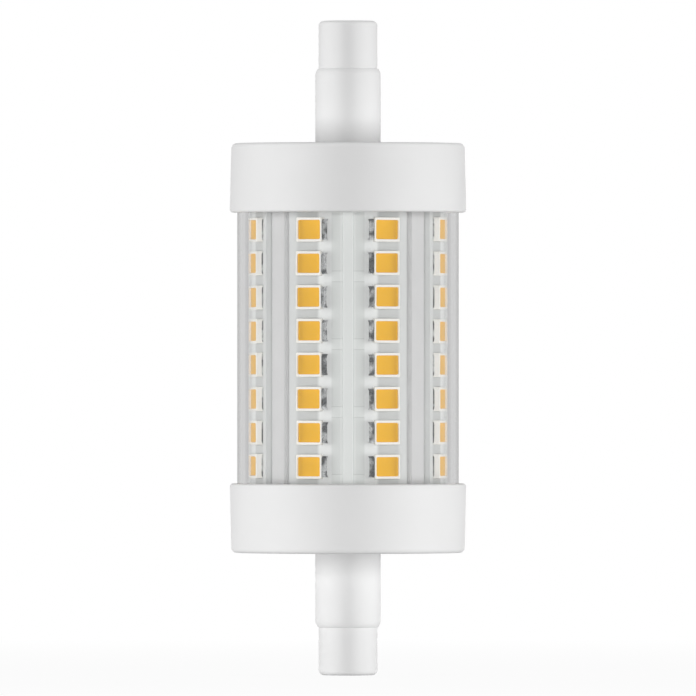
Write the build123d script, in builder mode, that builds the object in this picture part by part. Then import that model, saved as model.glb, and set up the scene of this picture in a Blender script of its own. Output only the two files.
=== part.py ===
from build123d import *
import os
from math import cos, radians, sin, sqrt, tan

# Double-ended linear LED lamp: an octagonal light engine under a clear tube, between two white end caps.
# The lamp's axis is Z, the origin is its centre and its front faces -Y. All sizes are in millimetres.

# Overall size
lamp_length = 78.0
lamp_diameter = 28.2

# End caps, each moulded in one piece with its neck and its nose
cap_length = 8.25
cap_wall = 0.85
cap_taper = 0.2
cap_end_wall = 1.5
cap_shoulder_chamfer = 0.42
neck_length = 8.95
neck_end_length = 0.8
nose_length = 5.65
nose_diameter = 7.0
nose_step = 0.4
nose_tip_chamfer = 0.45

# Recessed contacts in the noses
recess_diameter = 4.2
recess_depth = 1.55
contact_margin = 0.3
contact_length = 6.2
contact_clearance = 0.05

# Clear cover tube
cover_wall = 0.9
cover_insertion = 4.5
cover_clearance = 0.05

# Light-emitting packages and their solder joints
led_length = 3.1
led_width = 2.9
led_height = 0.9
led_pitch = 4.02
led_air_gap = 0.15
led_rim = 0.18
led_side_rim = 0.3
led_cup_depth = 0.5
led_phosphor_dip = 0.3
solder_width = 2.5
fold_solder_reach = 0.35
fold_solder_height = 0.8
edge_solder_reach = 0.12
edge_solder_height = 0.1

# Folded boards that carry the packages
board_thickness = 0.8
board_edge_margin = 0.98
board_tuck = 1.9
fold_land = 1.2
fold_clearance = 0.05
link_thickness = 0.15
link_width = 1.2
link_foot = 1.2
link_clearance = 0.05

# Octagonal core, with a rib between each two boards
core_corner_radius = 3.0
core_wall = 1.4
rib_width = 2.0
rib_height = 0.3
rib_chamfer = 0.4
core_clearance = 0.05

# Driver inside the core, and its wiring
lead_width = 1.4
lead_thickness = 0.5
lead_overlap = 2.9
driver_thickness = 1.0
driver_groove_depth = 0.4
driver_clearance = 0.1
feed_pin_size = 0.64
feed_pin_spacing = 3.8
feed_pin_clearance = 0.1
feed_pin_end = 0.35
driver_part_gap = 0.8
capacitor_diameter = 6.3
capacitor_length = 11.0
capacitor_leg = 0.5
capacitor_leg_reach = 1.6
capacitor_leg_spacing = 2.5
film_capacitor_length = 7.2
film_capacitor_depth = 3.5
film_capacitor_height = 5.0
film_capacitor_chamfer = 0.4
inductor_size = 6.0
inductor_height = 4.0
inductor_chamfer = 1.0
fuse_length = 6.1
fuse_side = 2.5
fuse_cap_length = 1.4
fuse_cap_step = 0.1
package_width = 3.9
package_height = 1.5
package_taper = 6.0
package_standoff = 0.1
package_leg_thickness = 0.2
package_leg_width = 0.5
package_leg_shank = 0.4
package_leg_foot = 0.6
rectifier_length = 4.7
rectifier_leg_pitch = 2.5
rectifier_leg_pairs = 2
chip_length = 4.9
chip_leg_pitch = 1.27
chip_leg_pairs = 4

# Sides of the octagon: each board covers two panels and faces one direction, in degrees from +X
board_facings = {"front": -90, "right": 0, "rear": 90, "left": 180}
feed_side = "rear"
panel_count = 2 * len(board_facings)
half_turn = 180 / panel_count
turn_sin = sin(radians(half_turn))
turn_cos = cos(radians(half_turn))
turn_tan = tan(radians(half_turn))

# Heights along the lamp's upper half, which its lower half mirrors
half_length = lamp_length / 2
step_z = half_length - nose_length
shoulder_z = step_z - neck_length
rim_z = shoulder_z - cap_length
end_wall_z = shoulder_z - cap_end_wall
ledge_z = rim_z + cover_insertion
recess_floor_z = half_length - recess_depth
contact_end_z = recess_floor_z - contact_length
board_end_z = rim_z + board_tuck
tuck_z = rim_z + board_tuck / 2

# Radii and flat-to-axis distances, from the caps inwards to the core
cap_radius = lamp_diameter / 2
cover_radius = cap_radius - cap_wall - cover_clearance
cover_bore_radius = cover_radius - cover_wall
led_face = sqrt((cover_bore_radius - led_air_gap) ** 2 - (led_length / 2) ** 2)
board_face = led_face - led_height
core_flat = board_face - board_thickness
core_corner = core_corner_radius + (core_flat - core_corner_radius) / turn_cos
neck_radius = nose_diameter / 2 + nose_step
nose_radius = nose_diameter / 2
recess_radius = recess_diameter / 2
contact_radius = recess_radius - contact_margin

# Layout of the packages and of the driver
window_length = 2 * rim_z
led_rows = int((window_length - led_width) // led_pitch) + 1
panel_half_width = led_length / 2 + edge_solder_reach + board_edge_margin
driver_front = lead_thickness / 2
driver_rear = driver_front + driver_thickness
groove_half_width = (core_flat - core_wall) / turn_cos + driver_groove_depth
driver_half_width = groove_half_width - driver_clearance
lead_end_z = end_wall_z - lead_overlap
feed_board_y = board_face / turn_cos - feed_pin_spacing / 2 * turn_tan
feed_tip_y = feed_board_y + feed_pin_end
feed_start_y = driver_front - feed_pin_end
feed_reach = feed_tip_y - driver_rear
feed_hole_size = feed_pin_size + 2 * feed_pin_clearance
feed_free_z = tuck_z - feed_hole_size / 2 - driver_part_gap
lead_free_z = driver_part_gap - lead_end_z
inductor_z = feed_free_z - inductor_size / 2
fuse_z = feed_free_z - fuse_side / 2
film_capacitor_z = lead_free_z + film_capacitor_depth / 2
rectifier_z = lead_free_z + rectifier_length / 2


def save_piece(builder, node):
    """Label a finished piece and write it as its own file."""
    builder.part.label = node
    export_step(builder.part, f"parts/{node}.step")


def panel_plane(angle, flat):
    """Plane on a flat of the octagon: X goes round the lamp, Y along its axis and Z outwards."""
    outwards = Vector(cos(radians(angle)), sin(radians(angle)), 0)
    around = Vector(-sin(radians(angle)), cos(radians(angle)), 0)
    return Plane(origin=outwards * flat, x_dir=around, z_dir=outwards)


def section_plane(angle, z=0):
    """Plane across the lamp at a height: Y goes outwards at the angle and X to its side."""
    around = Vector(-sin(radians(angle)), cos(radians(angle)), 0)
    return Plane(origin=(0, 0, z), x_dir=around, z_dir=(0, 0, -1))


def panel_point(flat, slide):
    """Point of a section: on the flat beside its Y axis, a slide from the flat's middle."""
    return (flat * turn_sin + slide * turn_cos, flat * turn_cos - slide * turn_sin)


def panel_angles(facing):
    """Directions of the two panels of the board that faces a direction."""
    return (facing - half_turn, facing + half_turn)


def feed_squares(size, start_y):
    """Squares on the two feed pins' axes, at a depth."""
    with BuildSketch(Plane.XZ.offset(-start_y)) as squares:
        with Locations((-feed_pin_spacing / 2, tuck_z), (feed_pin_spacing / 2, tuck_z)):
            Rectangle(size, size)
    return squares.sketch


os.makedirs("parts", exist_ok=True)

# End caps
with BuildPart() as upper_end_cap:
    with BuildSketch(Plane.XZ):
        with BuildLine():
            Polyline(
                (cover_radius + cover_clearance, rim_z),
                (cap_radius, rim_z),
                (cap_radius - cap_taper, shoulder_z - cap_shoulder_chamfer),
                (cap_radius - cap_taper - cap_shoulder_chamfer, shoulder_z),
                (neck_radius, shoulder_z),
                (neck_radius, step_z - neck_end_length),
                (nose_radius, step_z),
                (nose_radius, half_length - nose_tip_chamfer),
                (nose_radius - nose_tip_chamfer, half_length),
                (recess_radius, half_length),
                (recess_radius, recess_floor_z),
                (contact_radius + contact_clearance, recess_floor_z),
                (contact_radius + contact_clearance, ledge_z),
                (cover_radius + cover_clearance, ledge_z),
                close=True,
            )
        make_face()
    revolve(axis=Axis.Z)
    with BuildSketch(Plane.XY.offset(ledge_z)):
        RegularPolygon(core_flat + core_clearance, panel_count, major_radius=False)
    extrude(amount=end_wall_z - ledge_z, mode=Mode.SUBTRACT)
save_piece(upper_end_cap, "upper_end_cap")

with BuildPart() as lower_end_cap:
    mirror(upper_end_cap.part, about=Plane.XY)
save_piece(lower_end_cap, "lower_end_cap")

# Contacts: plugs pressed into the noses
with BuildPart() as upper_contact:
    with BuildSketch(Plane.XY.offset(contact_end_z)):
        Circle(contact_radius)
    extrude(amount=recess_floor_z - contact_end_z)
save_piece(upper_contact, "upper_contact")

with BuildPart() as lower_contact:
    mirror(upper_contact.part, about=Plane.XY)
save_piece(lower_contact, "lower_contact")

# Clear tube, pushed into both caps up to their ledges
with BuildPart() as cover_tube:
    with BuildSketch():
        Circle(cover_radius)
        Circle(cover_bore_radius, mode=Mode.SUBTRACT)
    extrude(amount=ledge_z, both=True)
save_piece(cover_tube, "cover_tube")

# Core: an octagonal tube with rounded corners under the folds, ribs between the boards, grooves for the
# driver board and holes for the feed pins
with BuildPart() as core:
    with BuildSketch() as core_section:
        RegularPolygon(core_flat, panel_count, major_radius=False)
        fold_corners = core_section.vertices().filter_by(lambda corner: abs(corner.X * corner.Y) < 1)
        fillet(fold_corners, radius=core_corner_radius)
        RegularPolygon(core_flat - core_wall, panel_count, major_radius=False, mode=Mode.SUBTRACT)
        with Locations((0, (driver_front + driver_rear) / 2)):
            Rectangle(
                2 * groove_half_width,
                driver_thickness + 2 * driver_clearance,
                mode=Mode.SUBTRACT,
            )
    extrude(amount=end_wall_z, both=True)
    for facing in board_facings.values():
        with BuildSketch(section_plane(facing + 2 * half_turn)):
            with BuildLine():
                Polyline(
                    (0, core_corner - core_wall / 2),
                    (rib_width / 2, core_corner - core_wall / 2),
                    (rib_width / 2, core_corner + rib_height - rib_chamfer),
                    (rib_width / 2 - rib_chamfer, core_corner + rib_height),
                    (0, core_corner + rib_height),
                )
                mirror(about=Plane.YZ)
            make_face()
        extrude(amount=rim_z, both=True)
    extrude(feed_squares(feed_hole_size, driver_rear), amount=-feed_reach, mode=Mode.SUBTRACT)
save_piece(core, "core")

# Folded boards, two panels each, with their packages and solder joints
land_y = board_face / turn_cos - fold_land / 2 * turn_tan
inner_land_y = core_corner + fold_clearance
inner_land = panel_point(core_flat, (core_flat * turn_cos - inner_land_y) / turn_sin)

for side, facing in board_facings.items():
    with BuildPart() as led_board:
        with BuildSketch(section_plane(facing)):
            with BuildLine():
                Polyline(
                    (0, land_y),
                    (fold_land / 2, land_y),
                    panel_point(board_face, panel_half_width),
                    panel_point(core_flat, panel_half_width),
                    inner_land,
                    (0, inner_land_y),
                )
                mirror(about=Plane.YZ)
            make_face()
        extrude(amount=board_end_z, both=True)
        if side == feed_side:
            extrude(feed_squares(feed_hole_size, driver_rear), amount=-feed_reach, mode=Mode.SUBTRACT)
    save_piece(led_board, f"{side}_led_board")

    with BuildPart() as led_housings:
        for angle in panel_angles(facing):
            with BuildSketch(panel_plane(angle, board_face)):
                with GridLocations(led_pitch, led_pitch, 1, led_rows):
                    Rectangle(led_length, led_width)
            extrude(amount=led_height)
            with BuildSketch(panel_plane(angle, led_face)):
                with GridLocations(led_pitch, led_pitch, 1, led_rows):
                    Rectangle(led_length - 2 * led_rim, led_width - 2 * led_side_rim)
            extrude(amount=-led_cup_depth, mode=Mode.SUBTRACT)
    save_piece(led_housings, f"{side}_led_housings")

    with BuildPart() as led_phosphors:
        for angle in panel_angles(facing):
            with BuildSketch(panel_plane(angle, led_face - led_cup_depth)):
                with GridLocations(led_pitch, led_pitch, 1, led_rows):
                    Rectangle(led_length - 2 * led_rim, led_width - 2 * led_side_rim)
            extrude(amount=led_cup_depth - led_phosphor_dip)
    save_piece(led_phosphors, f"{side}_led_phosphors")

    with BuildPart() as led_solder:
        for angle, fold_end in zip(panel_angles(facing), (1, -1)):
            joints = (
                (fold_end, fold_solder_reach, fold_solder_height),
                (-fold_end, edge_solder_reach, edge_solder_height),
            )
            for row in range(led_rows):
                row_z = (row - (led_rows - 1) / 2) * led_pitch
                with BuildSketch(section_plane(angle, row_z)):
                    for end, reach, height in joints:
                        with BuildLine():
                            Polyline(
                                (end * led_length / 2, board_face),
                                (end * (led_length / 2 + reach), board_face),
                                (end * led_length / 2, board_face + height),
                                close=True,
                            )
                        make_face()
                extrude(amount=solder_width / 2, both=True)
    save_piece(led_solder, f"{side}_led_solder")

# Links: folded straps that join neighbouring boards round the core's corners, hidden by the lower cap, and
# bowed outwards as far as the height of the core's ribs asks
link_edge_x, link_edge_y = panel_point(board_face, -panel_half_width)
link_rise = core_corner + rib_height + link_clearance - link_edge_y
link_inner_y = link_edge_y + max(0, link_rise * link_edge_x / (link_edge_x - rib_width / 2))
link_outer_y = link_inner_y + link_thickness
link_outer_slide = ((board_face + link_thickness) * turn_cos - link_outer_y) / turn_sin

with BuildPart() as board_links:
    for facing in list(board_facings.values())[:-1]:
        with BuildSketch(section_plane(facing + 2 * half_turn, -tuck_z)):
            with BuildLine():
                Polyline(
                    (0, link_inner_y),
                    panel_point(board_face, -panel_half_width),
                    panel_point(board_face, link_foot - panel_half_width),
                    panel_point(board_face + link_thickness, link_foot - panel_half_width),
                    panel_point(board_face + link_thickness, link_outer_slide),
                    (0, link_outer_y),
                )
                mirror(about=Plane.YZ)
            make_face()
        extrude(amount=link_width / 2, both=True)
save_piece(board_links, "board_links")

# Driver board, held in the core's grooves between the caps' end walls
with BuildPart() as driver_board:
    with BuildSketch(Plane.XZ.offset(-driver_front)):
        Rectangle(2 * driver_half_width, 2 * end_wall_z)
    extrude(amount=-driver_thickness)
    extrude(feed_squares(feed_hole_size, driver_front), amount=-driver_thickness, mode=Mode.SUBTRACT)
save_piece(driver_board, "driver_board")

with BuildPart() as feed_pins:
    extrude(feed_squares(feed_pin_size, feed_start_y), amount=feed_start_y - feed_tip_y)
save_piece(feed_pins, "feed_pins")

# Leads: flat strips from each contact straight along the axis onto the driver board
with BuildPart() as upper_lead:
    with BuildSketch(Plane.XY.offset(lead_end_z)):
        Rectangle(lead_width, lead_thickness)
    extrude(amount=contact_end_z - lead_end_z)
save_piece(upper_lead, "upper_lead")

with BuildPart() as lower_lead:
    mirror(upper_lead.part, about=Plane.XY)
save_piece(lower_lead, "lower_lead")

# Driver parts on the board's front
capacitor_axis_y = driver_front - capacitor_diameter / 2
capacitor_base_z = -capacitor_length / 2
leg_end_z = capacitor_base_z - capacitor_leg_reach

with BuildPart() as smoothing_capacitor:
    with BuildSketch(Plane.XY.offset(capacitor_base_z)):
        with Locations((0, capacitor_axis_y)):
            Circle(capacitor_diameter / 2)
    extrude(amount=capacitor_length)
    for leg_x in (-capacitor_leg_spacing / 2, capacitor_leg_spacing / 2):
        with BuildSketch(Plane.YZ.offset(leg_x)):
            with BuildLine():
                Polyline(
                    (capacitor_axis_y, capacitor_base_z),
                    (capacitor_axis_y, leg_end_z),
                    (driver_front, leg_end_z),
                    (driver_front, leg_end_z + capacitor_leg),
                    (capacitor_axis_y + capacitor_leg, leg_end_z + capacitor_leg),
                    (capacitor_axis_y + capacitor_leg, capacitor_base_z),
                    close=True,
                )
            make_face()
        extrude(amount=capacitor_leg / 2, both=True)
save_piece(smoothing_capacitor, "smoothing_capacitor")

with BuildPart() as film_capacitor:
    with BuildSketch(Plane.XZ.offset(-driver_front)):
        with Locations((0, film_capacitor_z)):
            Rectangle(film_capacitor_length, film_capacitor_depth)
    extrude(amount=film_capacitor_height)
    chamfer(film_capacitor.faces().sort_by(Axis.Y)[0].edges(), film_capacitor_chamfer)
save_piece(film_capacitor, "film_capacitor")

with BuildPart() as inductor:
    with BuildSketch(Plane.XZ.offset(-driver_front)) as inductor_section:
        with Locations((0, inductor_z)):
            Rectangle(inductor_size, inductor_size)
        chamfer(inductor_section.vertices(), inductor_chamfer)
    extrude(amount=inductor_height)
save_piece(inductor, "inductor")

# Driver parts on the board's rear
with BuildPart() as input_fuse:
    with BuildSketch(Plane.XZ.offset(-driver_rear)):
        with Locations((0, fuse_z)):
            Rectangle(fuse_length, fuse_side)
    extrude(amount=-fuse_side)
    with BuildSketch(Plane.YZ):
        with Locations((driver_rear + fuse_side / 2, fuse_z)):
            Rectangle(fuse_side, fuse_side)
            Rectangle(fuse_side - 2 * fuse_cap_step, fuse_side - 2 * fuse_cap_step, mode=Mode.SUBTRACT)
    extrude(amount=fuse_length / 2 - fuse_cap_length, both=True, mode=Mode.SUBTRACT)
save_piece(input_fuse, "input_fuse")


def moulded_package(node, length, centre_z, leg_pairs, leg_pitch):
    """Moulded chip on the driver board's rear, with pairs of bent legs at its sides."""
    seat_y = driver_rear + package_standoff
    leg_y = seat_y + package_height / 2
    foot_y = driver_rear + package_leg_thickness
    root_x = package_width / 2 - package_leg_shank
    shank_x = package_width / 2 + package_leg_shank
    with BuildPart() as package:
        with BuildSketch(Plane(origin=(0, seat_y, centre_z), x_dir=(-1, 0, 0), z_dir=(0, 1, 0))):
            Rectangle(package_width, length)
        extrude(amount=package_height, taper=package_taper)
        for pair in range(leg_pairs):
            leg_z = centre_z + (pair - (leg_pairs - 1) / 2) * leg_pitch
            with BuildSketch(Plane.XY.offset(leg_z)):
                with BuildLine():
                    Polyline(
                        (root_x, leg_y),
                        (shank_x, leg_y),
                        (shank_x, foot_y),
                        (shank_x + package_leg_foot, foot_y),
                        (shank_x + package_leg_foot, driver_rear),
                        (shank_x - package_leg_thickness, driver_rear),
                        (shank_x - package_leg_thickness, leg_y - package_leg_thickness),
                        (root_x, leg_y - package_leg_thickness),
                        close=True,
                    )
                make_face()
                mirror(about=Plane.YZ)
            extrude(amount=package_leg_width / 2, both=True)
    save_piece(package, node)


moulded_package("bridge_rectifier", rectifier_length, rectifier_z, rectifier_leg_pairs, rectifier_leg_pitch)
moulded_package("driver_chip", chip_length, 0, chip_leg_pairs, chip_leg_pitch)
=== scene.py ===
"""Looks of a double-ended linear LED bulb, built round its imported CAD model.

Meshes are modelled in millimetres in the lamp's own frame, in which Z runs along the lamp and the front
faces -Y, and are scaled to metres when they become objects.
"""

import logging
import math
import random
from dataclasses import dataclass, field
from enum import Enum

import bmesh
import bpy
from mathutils import Matrix, Vector

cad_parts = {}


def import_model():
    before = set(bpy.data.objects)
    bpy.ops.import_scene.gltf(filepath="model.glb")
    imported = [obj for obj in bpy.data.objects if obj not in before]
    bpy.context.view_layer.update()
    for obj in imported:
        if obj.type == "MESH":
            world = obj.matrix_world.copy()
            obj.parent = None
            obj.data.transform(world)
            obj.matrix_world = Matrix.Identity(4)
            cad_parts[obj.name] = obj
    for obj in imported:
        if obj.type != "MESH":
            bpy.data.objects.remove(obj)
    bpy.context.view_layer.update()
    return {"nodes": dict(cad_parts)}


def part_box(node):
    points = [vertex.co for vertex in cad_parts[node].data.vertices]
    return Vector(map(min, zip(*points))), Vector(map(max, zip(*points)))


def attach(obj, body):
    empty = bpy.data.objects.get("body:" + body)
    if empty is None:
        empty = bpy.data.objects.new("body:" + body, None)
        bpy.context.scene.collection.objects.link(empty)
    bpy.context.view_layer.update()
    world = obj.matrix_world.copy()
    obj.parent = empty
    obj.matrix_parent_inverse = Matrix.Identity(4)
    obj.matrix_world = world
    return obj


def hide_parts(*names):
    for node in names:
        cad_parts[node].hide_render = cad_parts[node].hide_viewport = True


LOG = logging.getLogger("linear_led_bulb")
BODY = "root"
MM = 0.001
FULL_TURN = 2 * math.pi
MERGE_MM = 1e-4
SUPPORT_MM = 0.04
SHORTEST_SIDE_MM = 4 * SUPPORT_MM
ROUND_PROFILE = 0.5
SHARP_ANGLE = math.radians(32)
BOARD_MAP = "board_map"
PLAIN_DETAIL = 1.0
GRAIN_DETAIL = 2.0
MOTTLE_DETAIL = 3.0

# Levels between which most of the noise lies.
NOISE_LOW = 0.3
NOISE_HIGH = 0.7

# Sockets of the colour mixer, which go by number because their names repeat.
MIX_SHARE = 0
MIX_FIRST = 6
MIX_SECOND = 7
MIX_RESULT = 2

Colour = tuple[float, float, float, float]


class End(Enum):
    """Ends of the lamp, with the sign of their side of the middle."""

    UPPER = 1
    LOWER = -1


class Facing(Enum):
    """Directions that the four boards face, in degrees from +X."""

    FRONT = -90
    RIGHT = 0
    REAR = 90
    LEFT = 180


class Slot(Enum):
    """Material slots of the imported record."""

    CAP = "cap_plastic"
    COVER = "clear_plastic"
    CONTACT = "nickel_plate"
    CORE = "core_plastic"
    BOARD = "board_mask"
    PACKAGE = "package_plastic"
    PHOSPHOR = "phosphor"
    SOLDER = "solder"


def linear(hex_colour: str) -> Colour:
    """Turn an sRGB hex colour into a linear one.

    Args:
        hex_colour: six hex digits, red first.

    Returns:
        Red, green, blue and a full alpha.
    """
    parts = [int(hex_colour[i : i + 2], 16) / 255 for i in (0, 2, 4)]
    red, green, blue = (c / 12.92 if c <= 0.04045 else ((c + 0.055) / 1.055) ** 2.4 for c in parts)
    return red, green, blue, 1.0


def per_metre(size_mm: float) -> float:
    """Texture scale that draws a feature at its size in millimetres."""
    return 1 / (size_mm * MM)


def add_node(
    tree: bpy.types.NodeTree, kind: str, inputs: dict[str | int, object] | None = None, **settings: object
) -> bpy.types.Node:
    """Add a node, set it and fill or link its inputs.

    Args:
        tree: node tree that takes the node.
        kind: Blender's name of the node.
        inputs: socket names or numbers, each with a value or with the output that feeds it.
        settings: the node's own properties.

    Returns:
        The new node.
    """
    node = tree.nodes.new(kind)
    for name, value in settings.items():
        setattr(node, name, value)
    for socket, value in (inputs or {}).items():
        if isinstance(value, bpy.types.NodeSocket):
            tree.links.new(value, node.inputs[socket])
        else:
            node.inputs[socket].default_value = value
    return node


def add_noise(
    tree: bpy.types.NodeTree, place: bpy.types.NodeSocket, size_mm: float, detail: float
) -> bpy.types.NodeSocket:
    """Add noise whose features have a real size.

    Args:
        tree: node tree that takes the node.
        place: position on the piece.
        size_mm: size of the features.
        detail: number of finer layers in the noise.

    Returns:
        The output with the noise.
    """
    inputs = {"Vector": place, "Scale": per_metre(size_mm), "Detail": detail}
    return add_node(tree, "ShaderNodeTexNoise", inputs).outputs["Fac"]


def add_maths(
    tree: bpy.types.NodeTree, operation: str, *values: float | bpy.types.NodeSocket
) -> bpy.types.NodeSocket:
    """Add a sum of one or two values.

    Args:
        tree: node tree that takes the node.
        operation: Blender's name of the sum.
        values: numbers, or the outputs that feed them.

    Returns:
        The output with the result.
    """
    return add_node(tree, "ShaderNodeMath", dict(enumerate(values)), operation=operation).outputs[0]


def mix_colours(
    tree: bpy.types.NodeTree,
    share: bpy.types.NodeSocket,
    first: Colour | bpy.types.NodeSocket,
    second: Colour | bpy.types.NodeSocket,
) -> bpy.types.NodeSocket:
    """Mix two colours.

    Args:
        tree: node tree that takes the node.
        share: output with the second colour's share.
        first: colour where that share is 0, or the output that feeds it.
        second: colour where it is 1, or the output that feeds it.

    Returns:
        The output with the mixed colour.
    """
    inputs = {MIX_SHARE: share, MIX_FIRST: first, MIX_SECOND: second}
    return add_node(tree, "ShaderNodeMix", inputs, data_type="RGBA").outputs[MIX_RESULT]


def bare_material(name: str) -> bpy.types.Material:
    """Make a material that has no nodes yet.

    Args:
        name: name of the material.

    Returns:
        The new material.
    """
    made = bpy.data.materials.new(name)
    made.use_nodes = True
    made.node_tree.nodes.clear()
    return made


@dataclass(frozen=True)
class Finish:
    """A material and the making of its surface.

    Attributes:
        name: what the material is and how its surface was made.
        colour: sRGB hex of the light end of its mottling.
        shade: sRGB hex of the dark end.
        mottle_mm: size of the mottling.
        roughness: mean roughness.
        roughness_spread: how far the roughness strays to either side.
        grain_mm: size of the surface grain.
        grain_depth_mm: height of the grain.
        metallic: 1 for a metal.
        ior: refractive index, which a metal leaves at Blender's own.
    """

    name: str
    colour: str
    shade: str
    mottle_mm: float
    roughness: float
    roughness_spread: float
    grain_mm: float
    grain_depth_mm: float
    metallic: float = 0.0
    ior: float = 1.5

    def material(self) -> bpy.types.Material:
        """Build the finish as a node material.

        Returns:
            The new material.
        """
        made = bare_material(self.name)
        tree = made.node_tree
        place = add_node(tree, "ShaderNodeTexCoord").outputs["Object"]
        grain = add_noise(tree, place, self.grain_mm, GRAIN_DETAIL)
        roughness = add_node(
            tree,
            "ShaderNodeMapRange",
            {
                "Value": grain,
                "From Min": NOISE_LOW,
                "From Max": NOISE_HIGH,
                "To Min": self.roughness - self.roughness_spread,
                "To Max": self.roughness + self.roughness_spread,
            },
        ).outputs["Result"]
        relief = add_node(
            tree,
            "ShaderNodeBump",
            {
                "Height": self.height(tree, place, grain),
                "Strength": 1.0,
                "Distance": self.grain_depth_mm * MM,
            },
        ).outputs["Normal"]
        shader = add_node(
            tree,
            "ShaderNodeBsdfPrincipled",
            {
                "Base Color": self.tint(tree, place),
                "Roughness": roughness,
                "Metallic": self.metallic,
                "IOR": self.ior,
                "Normal": relief,
            },
        )
        self.adjust(shader)
        add_node(tree, "ShaderNodeOutputMaterial", {"Surface": shader.outputs["BSDF"]})
        return made

    def tint(self, tree: bpy.types.NodeTree, place: bpy.types.NodeSocket) -> bpy.types.NodeSocket:
        """Mottle the two colours of the finish.

        Args:
            tree: the material's nodes.
            place: position on the piece.

        Returns:
            The output with the surface colour.
        """
        mottle = add_noise(tree, place, self.mottle_mm, MOTTLE_DETAIL)
        return mix_colours(tree, mottle, linear(self.shade), linear(self.colour))

    def height(
        self, tree: bpy.types.NodeTree, place: bpy.types.NodeSocket, grain: bpy.types.NodeSocket
    ) -> bpy.types.NodeSocket:
        """Give the relief of the surface, from 0 to 1, which is the plain grain here."""
        return grain

    def adjust(self, shader: bpy.types.Node) -> None:
        """Set further constant values on the shader, of which a plain finish has none."""


@dataclass(frozen=True)
class ExtrudedClearFinish(Finish):
    """Clear plastic drawn through a die, with faint lines along the drawing.

    Attributes:
        line_stretch: how much longer than wide the die's lines are.
    """

    line_stretch: float = 60.0

    def height(
        self, tree: bpy.types.NodeTree, place: bpy.types.NodeSocket, grain: bpy.types.NodeSocket
    ) -> bpy.types.NodeSocket:
        """Draw the lines that the die leaves along the tube.

        Args:
            tree: the material's nodes.
            place: position on the piece.
            grain: the plain grain, which the lines replace; not used.

        Returns:
            The output with the relief.
        """
        drawn = add_node(
            tree,
            "ShaderNodeMapping",
            {"Vector": place, "Scale": (1.0, 1.0, 1 / self.line_stretch)},
        ).outputs["Vector"]
        return add_noise(tree, drawn, self.mottle_mm, PLAIN_DETAIL)

    def adjust(self, shader: bpy.types.Node) -> None:
        """Let the light through."""
        shader.inputs["Transmission Weight"].default_value = 1.0


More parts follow.
